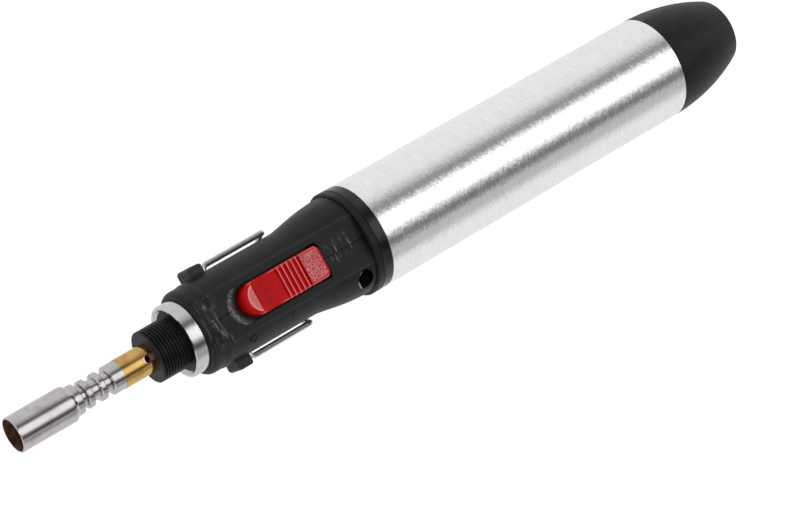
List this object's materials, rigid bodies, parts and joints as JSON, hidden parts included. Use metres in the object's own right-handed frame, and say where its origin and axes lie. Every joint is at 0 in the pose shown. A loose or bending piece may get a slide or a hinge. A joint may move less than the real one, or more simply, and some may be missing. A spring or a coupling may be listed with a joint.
{
  "type": "butane torch",
  "caption": "Pen-shaped refillable butane torch: slim burner nozzle on a brass mixing tube, black grip with a red gas slider and fold-out stand, aluminium gas tank, rounded tail.",
  "frame": {"origin": "mid-length of the whole torch, on the lowest line of the barrel", "axes": "+X along the torch towards its tail, burner mouth at -X; +Z out of the face that carries the slider; +Y completes a right-handed frame, and the housing screw goes in from the -Y side"},
  "size_m": [0.202, 0.025, 0.025],
  "materials": {
    "stainless": "polished",
    "steel_wire": "bright drawn wire",
    "brass": "fine turned",
    "black_metal": "black oxide, satin",
    "black_plastic": "satin",
    "black_gloss": "gloss",
    "red_plastic": "semi-gloss",
    "white_plastic": "natural acetal",
    "rubber": "matt",
    "felt": "compressed felt",
    "aluminium": "fine circumferential brushing"
  },
  "bodies": {
    "torch_body": {"burner_nozzle": "stainless", "flame_disc": "stainless", "mixing_tube": "brass", "gas_jet": "brass", "threaded_boss": "black_metal", "retaining_ring": "stainless", "housing_left": "black_plastic", "housing_right": "black_plastic", "housing_screw": "steel_wire", "lever_pin": "steel_wire", "gas_tube": "rubber", "valve_body": "brass", "valve_spring": "steel_wire", "valve_o_ring": "rubber", "filter_disc": "brass", "wick": "felt", "gas_tank": "black_gloss", "barrel_sleeve": "aluminium", "tail_cap": "black_plastic", "tank_o_ring": "rubber", "fill_valve_body": "brass", "fill_valve_spring": "steel_wire"},
    "slider": {"slider_button": "red_plastic", "slider_carriage": "black_plastic"},
    "lever": {"release_lever": "white_plastic"},
    "valve": {"valve_stem": "brass", "valve_seal": "rubber"},
    "stand": {"stand_bail": "steel_wire"},
    "fill_stem": {"fill_valve_stem": "brass", "fill_valve_seal": "rubber"}
  },
  "joints": [
    {"name": "slider_slide", "type": "slide", "parent": "torch_body", "child": "slider", "axis": [-1, 0, 0], "range_m": [0, 0.002]},
    {"name": "lever_swing", "type": "hinge", "parent": "torch_body", "child": "lever", "pos_m": [-0.028, 0, 0.007], "axis": [0, -1, 0], "range_deg": [0, 11.6]},
    {"name": "valve_lift", "type": "slide", "parent": "torch_body", "child": "valve", "axis": [-1, 0, 0], "range_m": [0, 0.00111], "deforming": ["valve_spring"]},
    {"name": "fill_press", "type": "slide", "parent": "torch_body", "child": "fill_stem", "axis": [-1, 0, 0], "range_m": [0, 0.0012], "stiffness_N_per_m": 800, "springref_m": -0.001, "deforming": ["fill_valve_spring"]},
    {"name": "stand_fold", "type": "hinge", "parent": "torch_body", "child": "stand", "pos_m": [-0.0453, 0, 0.0115], "axis": [0, 1, 0], "range_deg": [0, 95]}
  ],
  "couplings": [
    {"joint": "lever_swing", "follows": "slider_slide", "rad_per_m": 100.68},
    {"joint": "valve_lift", "follows": "slider_slide", "ratio": 0.55}
  ]
}
